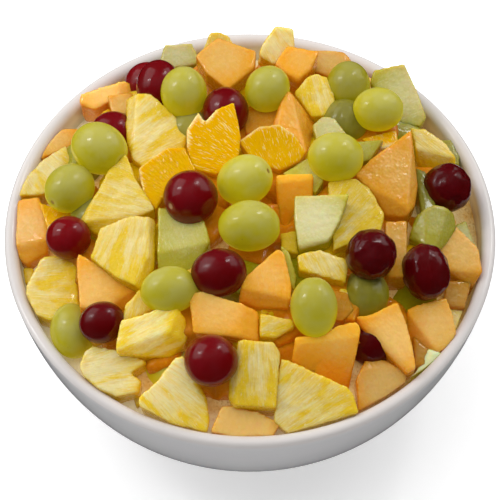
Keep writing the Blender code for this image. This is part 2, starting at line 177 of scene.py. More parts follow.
CHUNKS[ORANGE] = (
    (0.95, -0.25, -120, -2, 0, 10, 14, (-94, 6), (-76, 0), (-78, -10), (-90, -6)),
    (1, -0.15, 140, 6, 0, 28, 16, (-28, 31), (-23, 38), (-20, 34), (-15, 39), (-7, 42), (-5, 33), (-4, 28),
     (-5, 20), (-15, 13), (-25, 15), (-28, 24)),
    (0.85, -0.5, 140, 2, -6, 6, 18, (-49, 13), (-43, 19), (-37, 24), (-29, 25), (-24, 14), (-36, 3),
     (-41, -7), (-47, 2)),
    (0.8, -0.3, 105, 4, 4, 16, 16, (-5, 27), (4, 33), (13, 34), (20, 29), (25, 21), (22, 17), (13, 13),
     (2, 17)),
    (0.85, 0.05, -70, -1, 0, 6, 14, (50, 36), (66, 40), (67, 32), (56, 30)),
)
CHUNKS[CANTALOUPE] = (
    (1.15, 0.6, 160, 6, 0, 18, 18, (-79, 67), (-59, 74), (-53, 74), (-53, 70), (-72, 60), (-79, 63),
     (-62, 62, -60, 73, 35)),
    (0.85, 0.4, -70, 2, 0, 10, 20, (-66, 62), (-54, 64), (-53, 52), (-63, 52)),
    (0.85, 0.45, 125, 1, 0, 6, 16, (-97, 38), (-93, 47), (-87, 54), (-78, 54), (-82, 45), (-92, 40)),
    (0.95, 0.25, 155, 4, 12, 4, 22, (-105, -6), (-105, 12), (-95, 13), (-90, 0), (-90, -15), (-100, -19),
     (-104, -16), (-107, -11, -90, -10, 36)),
    (0.85, 0.3, 130, 11, 0, 3, 24, (-25, 74), (-15, 85), (3, 77), (2, 68), (-10, 56), (-20, 65)),
    (0.95, 0, 70, 10, 0, 4, 22, (11, 72), (17, 82), (26, 80), (32, 79), (28, 69), (22, 63), (19, 65),
     (10, 70, 22, 65, 42), (22, 65, 31, 72, 42)),
    (0.75, 0.5, 105, 8, -4, 6, 20, (26, 87), (36, 88), (44, 87), (49, 80), (37, 73), (29, 76)),
    (0.95, -0.2, 125, 3, -14, 10, 22, (10, 37), (13, 46), (17, 54), (31, 47), (30, 34), (24, 22), (13, 33),
     (16, 54, 13, 35, 45), (25, 24, 19, 52, 42)),
    (0.7, -0.5, -95, -3, 0, 0, 20, (-3, 48), (12, 52), (14, 36), (-2, 36)),
    (0.8, -0.05, 70, 5, -10, 8, 24, (72, 34), (73, 24), (75, 9), (73, -2), (69, -8), (60, -7), (53, 2),
     (46, 9), (53, 17), (46, 7, 66, -3, 42), (69, -9, 72, 33, 35)),
    (0.85, 0.5, 50, 4, -12, 10, 20, (80, -17), (84, -12), (91, -6), (101, -15), (103, -26), (99, -32),
     (87, -28), (84, -27, 102, -27, 42)),
    (0.65, 0.1, -95, 0, -10, 10, 18, (86, -30), (98, -28), (94, -42), (84, -42)),
    (1.3, -0.45, 90, 3, 0, 12, 24, (11, 8), (28, 9), (28, 1), (20, -15), (13, -12), (11, 4, 28, 6, 42)),
    (0.7, 0.1, 85, 1, -6, 8, 24, (59, -12), (69, -10), (68, -37), (59, -38)),
    (0.7, -0.3, 70, -2, 0, 10, 18, (34, -44), (42, -46), (44.5, -54), (39, -59), (34, -58)),
    (1.3, -0.15, -35, 5, -4, 26, 24, (19, -69), (31, -68), (37, -64), (45, -62), (47, -65), (43, -86),
     (17, -77), (17, -72, 47, -68, 38)),
    (1.1, 0.6, -45, 4, -6, 24, 18, (45, -57), (51, -56), (63, -50), (67, -58), (69, -66), (71, -76),
     (67, -78), (49, -62), (48, -58, 68, -76, 35)),
    (1.05, 0.5, 15, 3, -16, 22, 22, (68, -49), (72, -47), (85, -42), (88, -48), (90, -56), (87, -62),
     (81, -65), (71, -66), (67, -58), (68, -50, 83, -67, 48)),
    (0.85, 0.7, -60, 1, -10, 26, 20, (50, -70), (58, -71), (67, -76), (67, -79), (57, -86), (46, -92),
     (45, -80), (68, -73, 43, -77, 28)),
    (1.15, 1.25, -100, 1, 0, 34, 18, (-12, -93), (-7, -93), (4, -95), (13, -99), (10, -104), (-7, -104),
     (-17, -102)),
    (1.1, 0.3, 155, 4, 4, 24, 24, (-26, -51), (-18, -51), (-7, -55), (4, -58), (4, -70), (-24, -67),
     (-5, -69, -3, -54, 32)),
    (1.05, 0.05, 95, 4, -8, 18, 22, (12, -31), (15, -33), (18, -47), (17, -55), (4, -55), (-5, -53),
     (-3, -45), (-4, -49, 18, -52, 45)),
    (1.05, 0.35, -165, 3, -6, 16, 22, (-74, -28), (-46, -44), (-56, -52), (-67, -52), (-73, -52), (-75, -31),
     (-64, -52, -50, -43, 42)),
    (0.6, 0, 60, 1, 0, 12, 14, (70, -57), (77, -63), (75, -71), (71, -72)),
    (0.8, 0, 0, -20, 0, 0, 10, (-17, -78), (-9, -75), (-9, -84), (-14, -88)),
    (1, 0.35, -53, 1, 0, -30, 20, (-22, 101), (-4, 103), (-4, 92), (-18, 90)),
    (1, 0.35, 81, -4, 8, -20, 18, (-62, 82), (-50, 90), (-44, 82), (-56, 75)),
    (1, 0.35, -78, 0, -10, -20, 20, (50, 89), (64, 80), (58, 70), (48, 78)),
)
CHUNKS[HONEYDEW] = (
    (0.9, 0.6, -180, 7, 0, 20, 20, (-40, 82), (-42, 86), (-40, 93), (-27, 94), (-24, 88), (-25, 84)),
    (0.95, 0.55, 25, 1, 0, 8, 20, (28, 39), (33, 43), (38, 42), (45, 32), (30, 29)),
    (1, 0.5, 25, 10, 0, 24, 16, (55, 68), (57, 73), (71, 76), (77, 64), (81, 53), (78, 49), (69, 50),
     (56, 69, 69, 49, 18)),
    (0.65, 0.15, 15, 2, 0, 8, 16, (86, 48), (93, 48), (97, 40), (96, 34), (90, 36)),
    (0.8, -0.1, 95, 0, 0, 8, 18, (43, 31), (60, 32), (54, 22), (48, 20)),
    (0.5, -0.35, -175, 0, -10, 0, 18, (74, 22), (79, 20), (83, -2), (76, -3)),
    (0.75, 0, 85, 4, -8, 10, 22, (73, -5), (76, -3), (82, 0), (91, -2), (92, -8), (86, -17), (81, -23),
     (70, -15), (77, -3, 77, -19, 35), (81, -20, 87, -2, 35)),
    (0.8, 0.15, 0, 1, -20, 0, 18, (91, -2), (97, 2), (102, -16), (93, -16)),
    (1.1, 0.75, 165, 6, 4, 14, 22, (19, -5), (43, -5), (39, -17), (35.5, -23), (34, -26), (21, -29),
     (19, -16), (23, -27, 40, -23, 42)),
    (1.15, 0, 40, 0, 0, 8, 18, (14, 12), (26, 20), (33, 9), (29, 2)),
    (1, -0.5, 35, 0, -8, 18, 18, (13, -27), (17, -30), (20, -40), (19, -46), (16, -43)),
    (1.05, 0.1, 105, 2, 4, 8, 24, (-40, -8), (-21, -10), (-17, -25), (-25, -36), (-40, -35),
     (-39, -29, -17, -25, 32)),
    (1.45, 1.3, 30, 5, -8, 16, 10, (77, -63), (84, -65), (80, -69), (74, -73), (68, -77), (72, -72)),
    (1, 0.32, 100, 0, 0, -26, 18, (6, 102), (20, 101), (22, 90), (8, 90)),
    (1, 0.35, 56, -3, 16, -8, 16, (-78, 68), (-66, 79), (-60, 72), (-72, 62)),
)

# Grapes. Each row: how bright the grape is, which is its own tone and, for grapes in the shade, painted
# shade, the plan position of its centre, its height above the heap's surface, its width and length, and the
# turn of its long axis from +X and its pitch in degrees.
GRAPES = {}
GRAPES[GREEN] = (
    (1.05, -30, 56, 5, 21, 24, 90, 30),
    (1.05, -67, 26, 6, 23, 27, -40, 10),
    (0.95, -80, 8, 5, 21, 24, -128, 10),
    (1.2, -2, 5, 5, 22, 26, 0, 35),
    (1.05, 0, -19, 5, 22, 27, 0, 0),
    (1, 8, 57, 5, 20, 22, 60, 10),
    (0.75, 45, 65, 5, 20, 22, 90, 10),
    (0.5, 43, 46, -5, 20, 23, 90, 10),
    (1.1, 58, 47, 8, 20, 23, 0, 0),
    (1.1, 38, 17, 6, 22, 25, 0, 0),
    (1, -34, -48, 3, 20, 25, 10, 0),
    (1, -79, -54, -4, 20, 25, 100, 10),
    (0.95, 27, -57, 5, 20, 26, 95, 30),
    (0.5, 50, -43, -7, 20, 23, 90, 10),
    (1.3, -34, -71, -17, 20, 22, 0, 0),
    (0.7, -27, 42, -9, 20, 22, 0, 0),
    (0.6, -69, -3, -9, 20, 22, 0, 0),
)
GRAPES[RED] = (
    (1.1, -48, 78, -4, 21, 22, 30, 10),
    (0.9, -42, 65, 4, 20, 24, 80, 10),
    (0.95, -62, 42, -4, 21, 22, 20, 0),
    (1.1, -79, -17, 4, 19, 20, 0, 0),
    (0.93, -26, -5, 6, 24, 24, -140, 19),
    (0.85, -11, 46, 1, 21, 23, 90, 10),
    (0.45, 88.5, 13, 4, 22, 22, 0, 0),
    (0.5, 76, -33.5, 4, 21, 25, 100, 20),
    (0.45, 52, -32.5, 7, 22, 22, -20, 0),
    (0.74, -13, -42, 5, 21, 24, 10, 0),
    (0.65, -63, -58, 4, 18, 20, 20, 0),
    (0.93, -16, -79, 5, 22, 23, 0, 0),
    (0.5, 52, -62, -10.5, 20, 21, 0, 0),
)


# Shapes


def mesh_of(solid, name):
    """A mesh with this solid's shape. It frees the solid."""
    mesh = bpy.data.meshes.new(name)
    solid.to_mesh(mesh)
    solid.free()
    return mesh


def new_object(name, data):
    """An object in the scene."""
    made = bpy.data.objects.new(name, data)
    bpy.context.scene.collection.objects.link(made)
    return made


def turned(profile, steps):
    """The solid turned from a profile of (radius, height) that starts and ends on the axis."""
    solid = bmesh.new()
    points = [solid.verts.new((radius, 0, height)) for radius, height in profile]
    edges = [solid.edges.new(pair) for pair in zip(points, points[1:])]
    bmesh.ops.spin(solid, geom=points + edges, axis=(0, 0, 1), angle=math.tau, steps=steps, use_merge=True)
    bmesh.ops.remove_doubles(solid, verts=solid.verts, dist=0.001)
    bmesh.ops.recalc_face_normals(solid, faces=solid.faces)
    return solid


def outer_wall():
    """The outside of the bowl from its foot to its lip, as (radius, height)."""
    edge = Vector((RIM_RADIUS, BOWL_HEIGHT - LIP_RISE))
    lean = Vector((math.sin(WALL_LEAN), math.cos(WALL_LEAN)))
    foot = Vector((FOOT_RADIUS, FOOT_HEIGHT))
    belly = foot + Vector((BELLY_REACH, 0))
    return interpolate_bezier(foot, belly, edge - lean * WALL_REACH, edge, WALL_STEPS)


def inner_wall(gap=0.0):
    """The inside of the bowl from its floor to below its lip, a wall's thickness inside the outer wall."""
    outer = outer_wall()
    last = len(outer) - 1
    swell = LIP_SLOPE - WALL / 2
    inner = []
    for i, point in enumerate(outer):
        along = outer[min(i + 1, last)] - outer[max(i - 1, 0)]
        near_lip = max(0, 1 - (outer[last].y - point.y) / LIP_SWELL_DEPTH)
        thick = WALL + swell * near_lip * near_lip
        inner.append(point + Vector((-along.y, along.x)).normalized() * (thick + gap))
    inner[0].x = FOOT_RADIUS
    return [point for point in inner if point.y < BOWL_HEIGHT - LIP_DROP]


def lip():
    """The rounded lip, from the outer wall over its crest and down its gentle inner slope."""
    crest = RIM_RADIUS - WALL / 2
    points = []
    for i in range(1, LIP_STEPS + 1):
        angle = math.pi * i / LIP_STEPS
        reach, drop = (WALL / 2, LIP_RISE) if angle < math.pi / 2 else (LIP_SLOPE, LIP_DROP)
        points.append((crest + reach * math.cos(angle), BOWL_HEIGHT + drop * (math.sin(angle) - 1)))
    return points


def foot_ring():
    """The underside, from the middle of its recess outwards."""
    inside = FOOT_RADIUS - FOOT_WIDTH
    recess = [(0, RECESS_DEPTH), (inside - RECESS_DEPTH, RECESS_DEPTH)]
    return recess + [
        (inside, FOOT_EASE), (inside + FOOT_EASE, 0), (FOOT_RADIUS - FOOT_EASE, 0), (FOOT_RADIUS, FOOT_EASE),
    ]


def make_bowl():
    """The bowl, turned smooth, which knows the inner side of its wall."""
    inside = [tuple(point) for point in reversed(inner_wall())]
    floor = [(0, inside[-1][1])]
    profile = foot_ring() + [tuple(point) for point in outer_wall()] + lip() + inside + floor
    solid = turned(profile, BOWL_STEPS)
    inner_side = solid.verts.layers.float.new("inner_side")
    for vert in solid.verts:
        vert[inner_side] = 1 if vert.normal.xy.dot(vert.co.xy) < 0 else 0
    bowl = place(solid, "glazed_bowl", glaze(), "bowl")
    bowl.data.set_sharp_from_angle(angle=math.radians(60))


def heap_height(x, y):
    """The heap's even surface, before the fruit stands out of it."""
    return BOWL_HEIGHT + HEAP_EDGE + HEAP_RISE * (1 - (math.hypot(x, y) / HEAP_RADIUS) ** 4)


WALL_INSIDE = inner_wall(2 * GAP) + [Vector(point) for point in reversed(lip()[LIP_STEPS // 2 + 2:-2])]
FLOOR = WALL_INSIDE[0].y


def room_at(height):
    """How far from the axis the fruit reaches at a height without touching the bowl."""
    for low, high in zip(WALL_INSIDE, WALL_INSIDE[1:]):
        if height < high.y:
            share = max(0, (height - low.y) / (high.y - low.y))
            return low.x + share * (high.x - low.x)
    return WALL_INSIDE[-1].x


def keep_inside(verts):
    """Presses whatever would run into the bowl back to its wall."""
    for vert in verts:
        vert.co.z = max(vert.co.z, FLOOR)
        reach = math.hypot(vert.co.x, vert.co.y)
        if reach > WALL_INSIDE[0].x:
            room = room_at(vert.co.z)
            if reach > room:
                vert.co.x *= room / reach
                vert.co.y *= room / reach


def corners_of(shape):
    """The corners among a chunk's corners and further cuts, and their middle."""
    corners = [Vector(item) for item in shape if len(item) == 2]
    return corners, sum(corners, Vector((0, 0))) / len(corners)


def cut_chunk(lift, rise_right, rise_back, depth, shape):
    """A chunk with its cut edges eased, and the middle and outward direction of its upper face."""
    corners, middle = corners_of(shape)
    slope = Vector((math.tan(math.radians(rise_right)), math.tan(math.radians(rise_back))))
    level = heap_height(*middle) + lift
    solid = bmesh.new()
    rim = [solid.verts.new((*corner, level + slope.dot(corner - middle))) for corner in corners]
    face = solid.faces.new(rim)
    sides = bmesh.ops.extrude_face_region(solid, geom=[face])["geom"]
    below = [item for item in sides if isinstance(item, bmesh.types.BMVert)]
    centre = Vector((*middle, level))
    bmesh.ops.scale(solid, verts=below, vec=(CHUNK_TAPER,) * 3, space=Matrix.Translation(-centre))
    up = Vector((-slope.x, -slope.y, 1)).normalized()
    down = -(up + Vector((0, 0, UPRIGHT))).normalized()
    bmesh.ops.translate(solid, verts=below, vec=down * depth)
    for ridge in shape:
        if len(ridge) == 5:
            ends = (Vector(ridge[:2]), Vector(ridge[2:4]))
            start, end = (Vector((*at, level + slope.dot(at - middle))) for at in ends)
            drop = math.radians(ridge[4])
            beyond = (end - start).normalized().cross(up)
            cut = bmesh.ops.bisect_plane(
                solid, geom=solid.verts[:] + solid.edges[:] + solid.faces[:], dist=0.001, plane_co=start,
                plane_no=up * math.cos(drop) + beyond * math.sin(drop), clear_outer=True,
            )
            open_edges = [item for item in cut["geom_cut"] if isinstance(item, bmesh.types.BMEdge)]
            bmesh.ops.contextual_create(solid, geom=open_edges)
    bmesh.ops.recalc_face_normals(solid, faces=solid.faces)
    keep_inside(solid.verts)
    bmesh.ops.bevel(
        solid, geom=list(solid.edges), offset=min(CHUNK_BEVEL, depth / 8), offset_type="OFFSET", segments=2,
        profile=0.5, affect="EDGES", clamp_overlap=True, material=-1,
    )
    return solid, centre, up


def even_faces(solid, size):
    """The same solid in even faces of this size, as a mesh. It frees the solid."""
    holder = new_object("rough", mesh_of(solid, "rough"))
    even = holder.modifiers.new("even", "REMESH")
    even.mode = "VOXEL"
    even.voxel_size = size
    graph = bpy.context.evaluated_depsgraph_get()
    mesh = bpy.data.meshes.new_from_object(holder.evaluated_get(graph))
    bpy.data.objects.remove(holder)
    return mesh


def heading(turn):
    """The level direction at this turn from +X."""
    return Vector((math.cos(math.radians(turn)), math.sin(math.radians(turn)), 0))


def grain_frame(centre, up, turn):
    """Turns heap coordinates into the chunk's own: X along its grain, Z out of its upper face."""
    along = heading(turn)
    along = (along - up * along.dot(up)).normalized()
    return Matrix((along, up.cross(along), up)).to_4x4() @ Matrix.Translation(-centre)


def melon_relief(p):
    """How far a melon's cut face stands out: a slow wave from the knife and a fine wet grain."""
    return 0.45 * noise.noise(p * 0.07) + 0.03 * noise.noise(p * 0.4)


def pineapple_relief(p):
    """Fibres along the grain, and the ragged hollows between them."""
    fibres = noise.noise(Vector((p.x * 0.09, p.y * 0.4, p.z * 0.4)))
    ragged = noise.noise(p * 0.2)
    hollows = max(0, noise.noise(p * 0.15 + Vector((31, 5, 9))) - 0.35)
    return 0.12 * fibres + 0.3 * ragged - 1.2 * hollows


def orange_relief(p):
    """Juice sacs, longer along the grain, that swell out of the cut."""
    nearest = noise.voronoi(Vector((p.x * 0.3, p.y * 0.7, p.z * 0.7)))[0][0]
    return 0.1 * (0.5 - nearest) + 0.5 * noise.noise(p * 0.08)


RELIEF = {
    PINEAPPLE: pineapple_relief, CANTALOUPE: melon_relief, HONEYDEW: melon_relief, ORANGE: orange_relief,
}


def flesh_layers(fruit):
    """The values that the flesh's finish reads at each point."""
    values = fruit.verts.layers
    grain = values.float_vector.new("grain")
    return grain, *(values.float.new(name) for name in ("tone", "paleness", "side"))


def cover_of_chunks():
    """Finds the upper chunks from below or above."""
    together = bmesh.new()
    for rows in CHUNKS.values():
        for row in rows:
            mesh = mesh_of(cut_chunk(*row[3:7], row[7:])[0], "cover")
            together.from_mesh(mesh)
            bpy.data.meshes.remove(mesh)
    found = BVHTree.FromBMesh(together)
    together.free()
    return found


def tuck_under(verts, cover):
    """Presses down whatever stands out through an upper chunk."""
    for vert in verts:
        hit, facing, _, _ = cover.ray_cast(vert.co, Vector((0, 0, -1)), TUCK_REACH)
        if hit and facing.z > 0:
            vert.co.z = hit.z - TUCK


def rind_sides(shape, turn):
    """The sides of an orange piece's outline that faced its rind, at the outer end of its grain."""
    corners, middle = corners_of(shape)
    sides = zip(corners, corners[1:] + corners[:1])
    return [(a, b) for a, b in sides if ((a + b) / 2 - middle).normalized().dot(heading(turn).xy) > 0.35]


def rind_share(point, sides):
    """From 1 on a side to 0 where the membrane under the rind ends."""
    nearest = MEMBRANE
    for a, b in sides:
        at, share = intersect_point_line(point, a, b)
        if 0 <= share <= 1:
            nearest = min(nearest, (at.xy - point).length)
    return 1 - nearest / MEMBRANE


def smooth(fruit, verts, factor, times=1):
    """Evens out the small steps between neighbouring points."""
    for _ in range(times):
        bmesh.ops.smooth_vert(
            fruit, verts=verts, factor=factor, use_axis_x=True, use_axis_y=True, use_axis_z=True
        )


def add_chunk(fruit, layers, kind, size, shade, row, cover=None):
    """Adds one chunk to its fruit's mesh, with its relief and the values for its finish."""
    tone, paleness, turn, lift, rise_right, rise_back, depth, *shape = row
    grain, bright, pale, side = layers
    solid, centre, up = cut_chunk(lift, rise_right, rise_back, depth, shape)
    mesh = even_faces(solid, size)
    frame_of_chunk = grain_frame(centre, up, turn)
    reach = sum(math.dist(item[:2], centre[:2]) for item in shape) / len(shape)
    old = len(fruit.verts)
    fruit.from_mesh(mesh)
    bpy.data.meshes.remove(mesh)
    fruit.verts.ensure_lookup_table()
    verts = fruit.verts[old:]
    smooth(fruit, verts, CHUNK_SMOOTHING)
    apart = Vector((0, 0, 61 * (old % 97)))  # so that no two chunks are alike
    rind = rind_sides(shape, turn) if kind == ORANGE else []
    for vert in verts:
        local = frame_of_chunk @ vert.co
        outwards = min(1.2, math.hypot(local.x, local.y) / reach)
        painted_sunk_shade = max(0, heap_height(vert.co.x, vert.co.y) + 1 - vert.co.z) / PAINTED_SHADE_DEPTH
        if kind in FAN:
            local.y /= max(0.4, 1 + local.x / FAN[kind])
        facing = max(0, vert.normal.dot(up))
        vert[grain] = local + apart
        vert[bright] = tone
        vert[pale] = paleness + PAINTED_PALE_MIDDLE[kind] * (0.5 - outwards * outwards)
        vert[pale] += MEMBRANE_PALENESS * rind_share(vert.co.xy, rind)
        # Painted shade: the colour goes deeper down steep sides, below the heap's surface and on the lower
        # chunks
        vert[side] = min(1, PAINTED_SHADE_GAIN * max(0, PAINTED_SHADE_FROM - facing) + painted_sunk_shade + shade)
        vert.co += vert.normal * RELIEF[kind](local + apart)
    if cover:
        tuck_under(verts, cover)
        smooth(fruit, verts, LOWER_SMOOTHING, times=3)
    keep_inside(verts)


def lower_layer():
    """Rows like those of CHUNKS, by kind, for the fruit below, ring by ring."""
    chance = random.Random(SEED)
    rows = {kind: [] for kind in CHUNKS}
    for ring in range(LOWER_RINGS):
        count = max(1, round(math.tau * ring * LOWER_COUNT))
        for i in range(count):
            angle = math.tau * (i + 0.5 * (ring % 2)) / count + chance.uniform(-0.1, 0.1)
            radius = LOWER_PITCH * ring * chance.uniform(0.94, 1.02)
            x, y = radius * math.cos(angle), radius * math.sin(angle)
            turn = chance.uniform(0, math.tau)
            reach = chance.uniform(*LOWER_SIZE)
            sides = chance.choice((4, 4, 5))
            corners = []
            for side in range(sides):
                out = reach * chance.uniform(1, 1.25)
                way = turn + math.tau * side / sides
                corners.append((x + out * math.cos(way), y + out * math.sin(way)))
            kind = chance.choices((CANTALOUPE, PINEAPPLE, HONEYDEW), (6, 2, 2))[0]
            tilt = chance.uniform(-10, 10), chance.uniform(-10, 10)
            lift = chance.uniform(-3, 2) - LOWER_DEPTH
            depth = chance.uniform(*LOWER_DEPTHS)
            rows[kind].append((LOWER_TONE, LOWER_PALENESS, math.degrees(turn), lift, *tilt, depth, *corners))
    return rows


def make_cut_fruit():
    """Every kind of cut fruit, each in one piece with its chunks in the lower layer."""
    finishes = {
        PINEAPPLE: pineapple_flesh(), ORANGE: orange_flesh(), CANTALOUPE: melon_flesh(CANTALOUPE),
        HONEYDEW: melon_flesh(HONEYDEW),
    }
    lower = lower_layer()
    cover = cover_of_chunks()
    for kind, finish in finishes.items():
        fruit = bmesh.new()
        layers = flesh_layers(fruit)
        for row in CHUNKS[kind]:
            add_chunk(fruit, layers, kind, FACE_SIZE[kind], 0, row)
        for row in lower[kind]:
            add_chunk(fruit, layers, kind, LOWER_FACE_SIZE, LOWER_PAINTED_SHADE, row, cover)
        place(fruit, kind + "_chunks", finish, "fruit_heap")


def add_grape(fruit, layers, tone, x, y, lift, width, length, turn, pitch):
    """Adds one grape: an egg with faint lumps, dimpled where its stalk was and marked at its other end."""
    skin, bright, upward = layers
    turn, pitch = math.radians(turn), math.radians(pitch)
    axis = Vector((math.cos(turn) * math.cos(pitch), math.sin(turn) * math.cos(pitch), math.sin(pitch)))
    level = heap_height(x, y) + lift
    inwards = min(1, (room_at(level - width / 4) - width / 2) / math.hypot(x, y))
    turned_over = axis.to_track_quat("Z", "Y").to_matrix()
    apart = Vector((x, y, 3 * lift)) * 0.37  # so that no two grapes are alike
    wrinkling = WRINKLING if tone < WRINKLED_TONE else 0
    made = bmesh.ops.create_icosphere(fruit, subdivisions=GRAPE_DETAIL, radius=1)
    for vert in made["verts"]:
        at = vert.co.copy()
        vert[skin] = at
        vert[bright] = tone
        vert[upward] = (turned_over @ at).z
        from_stalk = at.angle(Vector((0, 0, 1)))
        from_tip = math.pi - from_stalk
        swell = 1 + 0.02 * noise.noise(at * 1.3 + apart) - 0.02 * at.z
        swell += wrinkling * (noise.noise(at * 2.2 + apart) + 0.35 * noise.noise(at * 6 + apart))
        vert.co = Vector((width * at.x, width * at.y, length * at.z)) * (swell / 2)
        vert.co.z -= DIMPLE * math.exp(-((from_stalk / DIMPLE_WIDTH) ** 2))
        vert.co.z += 0.3 * DIMPLE * math.exp(-((from_tip / TIP_WIDTH) ** 2))
    stand = Matrix.Translation((x * inwards, y * inwards, level)) @ turned_over.to_4x4()
    bmesh.ops.transform(fruit, matrix=stand, verts=made["verts"])
    keep_inside(made["verts"])


def make_grapes():
    """The grapes, each kind in one piece."""
    for kind, rows in GRAPES.items():
        fruit = bmesh.new()
        values = fruit.verts.layers
        layers = values.float_vector.new("skin"), values.float.new("tone"), values.float.new("upward")
        for row in rows:
            add_grape(fruit, layers, *row)
        place(fruit, kind + "s", grape_skin(kind), "fruit_heap")


def core_height(radius):
    """The top of the core at this distance from the axis."""
    return heap_height(radius, 0) - CORE_DEPTH + CORE_RISE * (radius / HEAP_RADIUS) ** 6


def make_core():
    """What the lower layer lies on: fruit pressed together in its juice."""
    edge = core_height(WALL_INSIDE[-1].x)
    side = [tuple(point) for point in inner_wall(GAP) if point.y < edge]
    reach = room_at(edge)
    rings = [reach * (1 - i / CORE_RINGS) for i in range(CORE_RINGS + 1)]
    top = [(radius, core_height(radius)) for radius in rings]
    solid = turned([(0, side[0][1])] + side + top, CORE_SIDES)
    large, small = CORE_LUMPS
    for vert in solid.verts:
        if vert.normal.z > 0.3 and math.hypot(vert.co.x, vert.co.y) < reach - 1:
            vert.co.z += large * noise.noise(vert.co * 0.09) + small * noise.noise(vert.co * 0.3)
    place(solid, "fruit_core", core_flesh(), "fruit_heap")


def place(solid, name, finish, stands_for):
    """Makes a piece in metres from a solid in millimetres, riding on the bowl's body. It frees the solid."""
    bmesh.ops.scale(solid, verts=solid.verts, vec=(0.001, 0.001, 0.001))
    mesh = mesh_of(solid, name)
    mesh.materials.append(finish)
    mesh.shade_smooth()
    piece = new_object(name, mesh)
    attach(piece, "root")
    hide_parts(stands_for)
    return piece


# Finishes

# Colours, linear: ripe, pale, deep. Deep is also the colour of painted shade; on the grapes pale is also a
# painted sheen and deep a painted light through them
FLESH_COLOURS = {
    CANTALOUPE: ((0.78, 0.37, 0.03, 1), (0.79, 0.5, 0.15, 1), (0.62, 0.22, 0.004, 1)),
    PINEAPPLE: ((0.8, 0.56, 0.03, 1), (0.83, 0.72, 0.36, 1), (0.7, 0.43, 0.001, 1)),
    HONEYDEW: ((0.44, 0.4, 0.05, 1), (0.6, 0.56, 0.3, 1), (0.33, 0.29, 0.004, 1)),
    ORANGE: ((0.8, 0.44, 0, 1), (0.92, 0.8, 0.42, 1), (0.74, 0.31, 0, 1)),
    GREEN: ((0.43, 0.38, 0.01, 1), (0.44, 0.405, 0.085, 1), (0.45, 0.38, 0.001, 1)),
    RED: ((0.15, 0.001, 0.0015, 1), (0.17, 0.0045, 0.008, 1), (0.12, 0.0006, 0.0006, 1)),
    "heap_core": ((0.66, 0.35, 0.06, 1), (0.8, 0.62, 0.28, 1), (0.46, 0.2, 0.015, 1)),
}
PAINTED_WALL_LIGHT_COLOUR = (0.92, 0.84, 0.6, 1)  # painted light on the core where it meets the bowl's wall
MARK_COLOURS = {GREEN: (0.26, 0.15, 0.03, 1), RED: (0.42, 0.24, 0.13, 1)}
GLAZE_BODY = (0.64, 0.63, 0.64, 1)
GLAZE_CLOUD = (0.66, 0.655, 0.655, 1)
GLAZE_LIP = (0.7, 0.66, 0.64, 1)
# Juice inside the bowl, warm and painted lighter than the glaze, as light from the fruit
GLAZE_JUICE_AND_LIGHT = (0.85, 0.79, 0.62, 1)
PAPER_COLOURS = (0.955, 0.955, 0.955, 1), (0.965, 0.965, 0.965, 1)

# How strongly each finish glows in its own colour: painted light that stands for light come through it and
# lightens its shade
PAINTED_GLOW = 0.09
CORE_PAINTED_GLOW = 0.18
GRAPE_PAINTED_GLOW = {GREEN: 0.4, RED: 0.2}

FADE = {CANTALOUPE: 0.5, HONEYDEW: 0.3, PINEAPPLE: -0.35}  # how much paler a chunk is at the end of its grain
FADE_REACH = 16

FLOAT, COLOUR, VECTOR = "NodeSocketFloat", "NodeSocketColor", "NodeSocketVector"


def add(tree, kind, inputs=(), **settings):
    """A node with these settings. Each input is given as (socket, value or another node's output)."""
    node = tree.nodes.new(kind)
    for name, value in settings.items():
        setattr(node, name, value)
    for socket, value in inputs:
        if isinstance(value, bpy.types.NodeSocket):
            tree.links.new(value, node.inputs[socket])
        else:
            node.inputs[socket].default_value = value
    return node


def maths(tree, operation, a, b=0.5):
    """One step of arithmetic on two values."""
    return add(tree, "ShaderNodeMath", ((0, a), (1, b)), operation=operation).outputs[0]


def total(tree, first, *others):
    """The sum of values."""
    for other in others:
        first = maths(tree, "ADD", first, other)
    return first


def times(tree, first, *others):
    """The product of values."""
    for other in others:
        first = maths(tree, "MULTIPLY", first, other)
    return first


def vector_maths(tree, operation, *inputs, **named):
    """One step of arithmetic on vectors."""
    given = list(enumerate(inputs)) + list(named.items())
    return add(tree, "ShaderNodeVectorMath", given, operation=operation).outputs


def spread(tree, value, low, high, to_low=0.0, to_high=1.0):
    """Carries value from low..high to to_low..to_high, and stops at both ends."""
    ends = (("Value", value), ("From Min", low), ("From Max", high), ("To Min", to_low), ("To Max", to_high))
    return add(tree, "ShaderNodeMapRange", ends, clamp=True).outputs["Result"]


def mixed(tree, share, a, b):
    """Colour a towards colour b."""
    return add(tree, "ShaderNodeMix", ((0, share), (6, a), (7, b)), data_type="RGBA").outputs[2]


def cloudy(tree, place_at, scale, detail=3, roughness=0.5):
    """Soft noise from about 0.3 to 0.7."""
    settings = (("Vector", place_at), ("Scale", scale), ("Detail", detail), ("Roughness", roughness))
    return add(tree, "ShaderNodeTexNoise", settings).outputs["Fac"]


def cells(tree, place_at, scale=1.0):
    """How far a point is from the middle of its cell, and a number that each cell has for itself."""
    found = add(tree, "ShaderNodeTexVoronoi", (("Vector", place_at), ("Scale", scale)), feature="F1").outputs
    return found["Distance"], add(tree, "ShaderNodeSeparateColor", ((0, found["Color"]),)).outputs[0]


def parts_of(tree, vector):
    """The X, Y and Z of a vector."""
    return add(tree, "ShaderNodeSeparateXYZ", (("Vector", vector),)).outputs


def joined(tree, *parts):
    """The vector with these parts."""
    return add(tree, "ShaderNodeCombineXYZ", enumerate(parts)).outputs[0]


def in_metres(tree):
    """Where a point is in its object."""
    return add(tree, "ShaderNodeTexCoord").outputs["Object"]


def in_millimetres(tree):
    """Where a point is in its object."""
    return vector_maths(tree, "SCALE", in_metres(tree), Scale=1000)[0]


